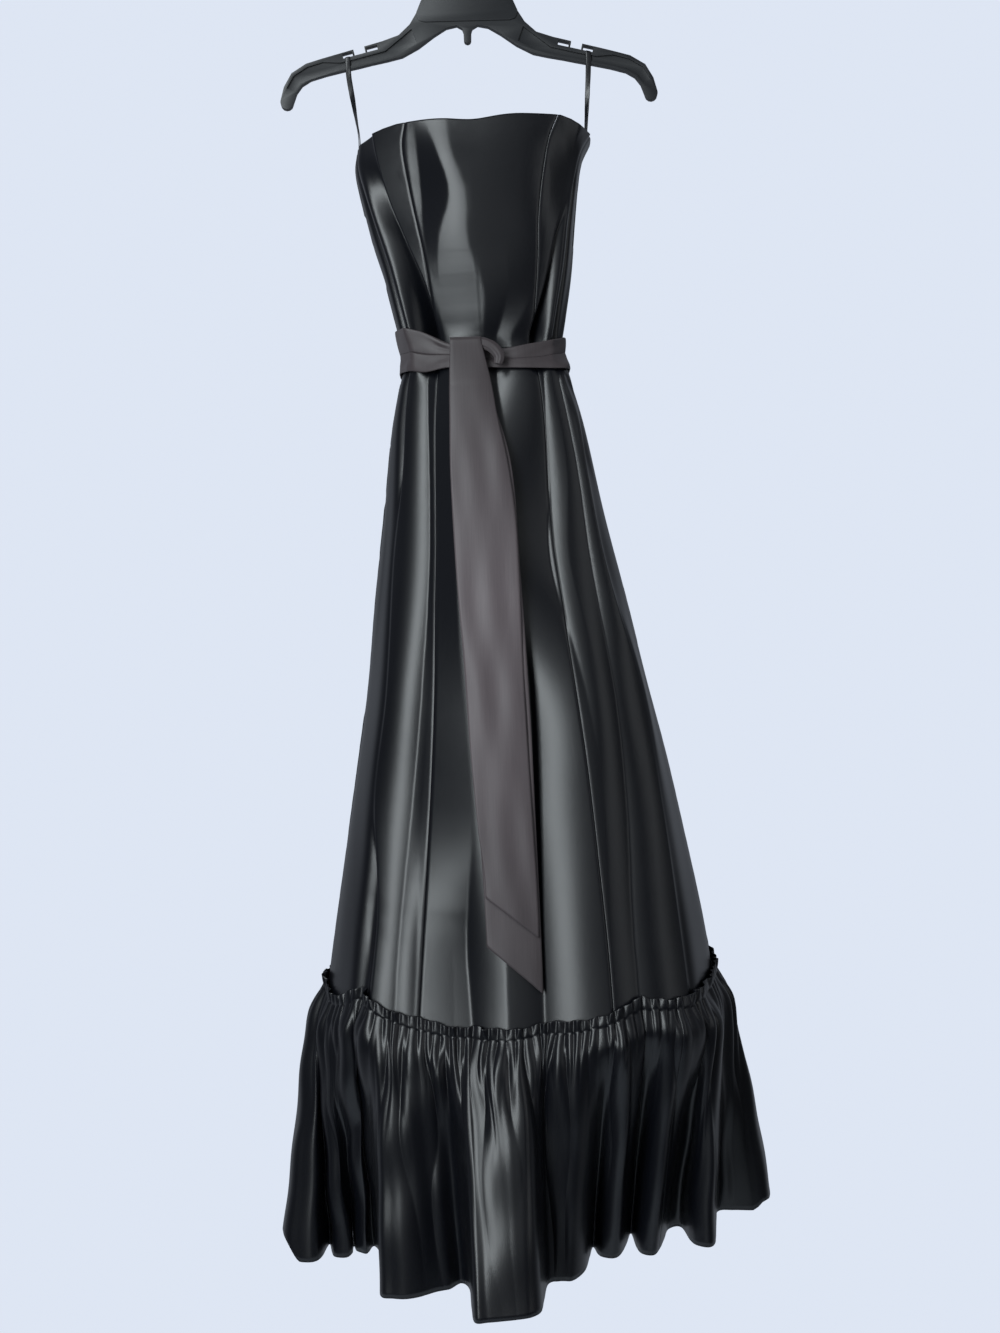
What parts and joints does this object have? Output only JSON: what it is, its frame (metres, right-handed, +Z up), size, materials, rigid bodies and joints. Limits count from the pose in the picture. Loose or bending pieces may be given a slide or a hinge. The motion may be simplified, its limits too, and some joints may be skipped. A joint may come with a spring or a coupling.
{
  "type": "strapless satin dress on plastic hanger",
  "caption": "Floor-length strapless satin dress with princess seams, a tied sash and a gathered flounce, hung by ribbon loops on a moulded plastic hanger.",
  "frame": {"origin": "inner crest of the hanger's hook, where it rests on a rail", "axes": "+Z up, -Y out of the dress's front, +X to the viewer's right"},
  "size_m": [0.56, 0.3412, 1.5123],
  "materials": {
    "black_satin": "satin",
    "sash_satin": "soft satin",
    "hanger_plastic": "semi-matt",
    "zip_metal": "dark coated"
  },
  "bodies": {
    "dress": {"bodice_back_left": "black_satin", "bodice_side_front_left": "black_satin", "bodice_front": "black_satin", "bodice_side_front_right": "black_satin", "bodice_back_right": "black_satin", "skirt_back_left": "black_satin", "skirt_side_front_left": "black_satin", "skirt_front": "black_satin", "skirt_side_front_right": "black_satin", "skirt_back_right": "black_satin", "flounce_left": "black_satin", "flounce_front": "black_satin", "flounce_right": "black_satin", "flounce_back": "black_satin", "loop_left": "black_satin", "loop_right": "black_satin", "sash_band_upper": "sash_satin", "sash_band_lower": "sash_satin", "sash_knot": "sash_satin", "sash_tail_front": "sash_satin", "sash_tail_back": "sash_satin", "zip_slider": "zip_metal", "hanger": "hanger_plastic"},
    "zip_pull_tab": {"zip_pull": "zip_metal"}
  },
  "joints": [
    {"name": "zip_pull_hinge", "type": "hinge", "parent": "dress", "child": "zip_pull_tab", "pos_m": [0.00186, 0.03793, -0.264], "axis": [1, 0, 0], "range_deg": [0, 160]}
  ]
}
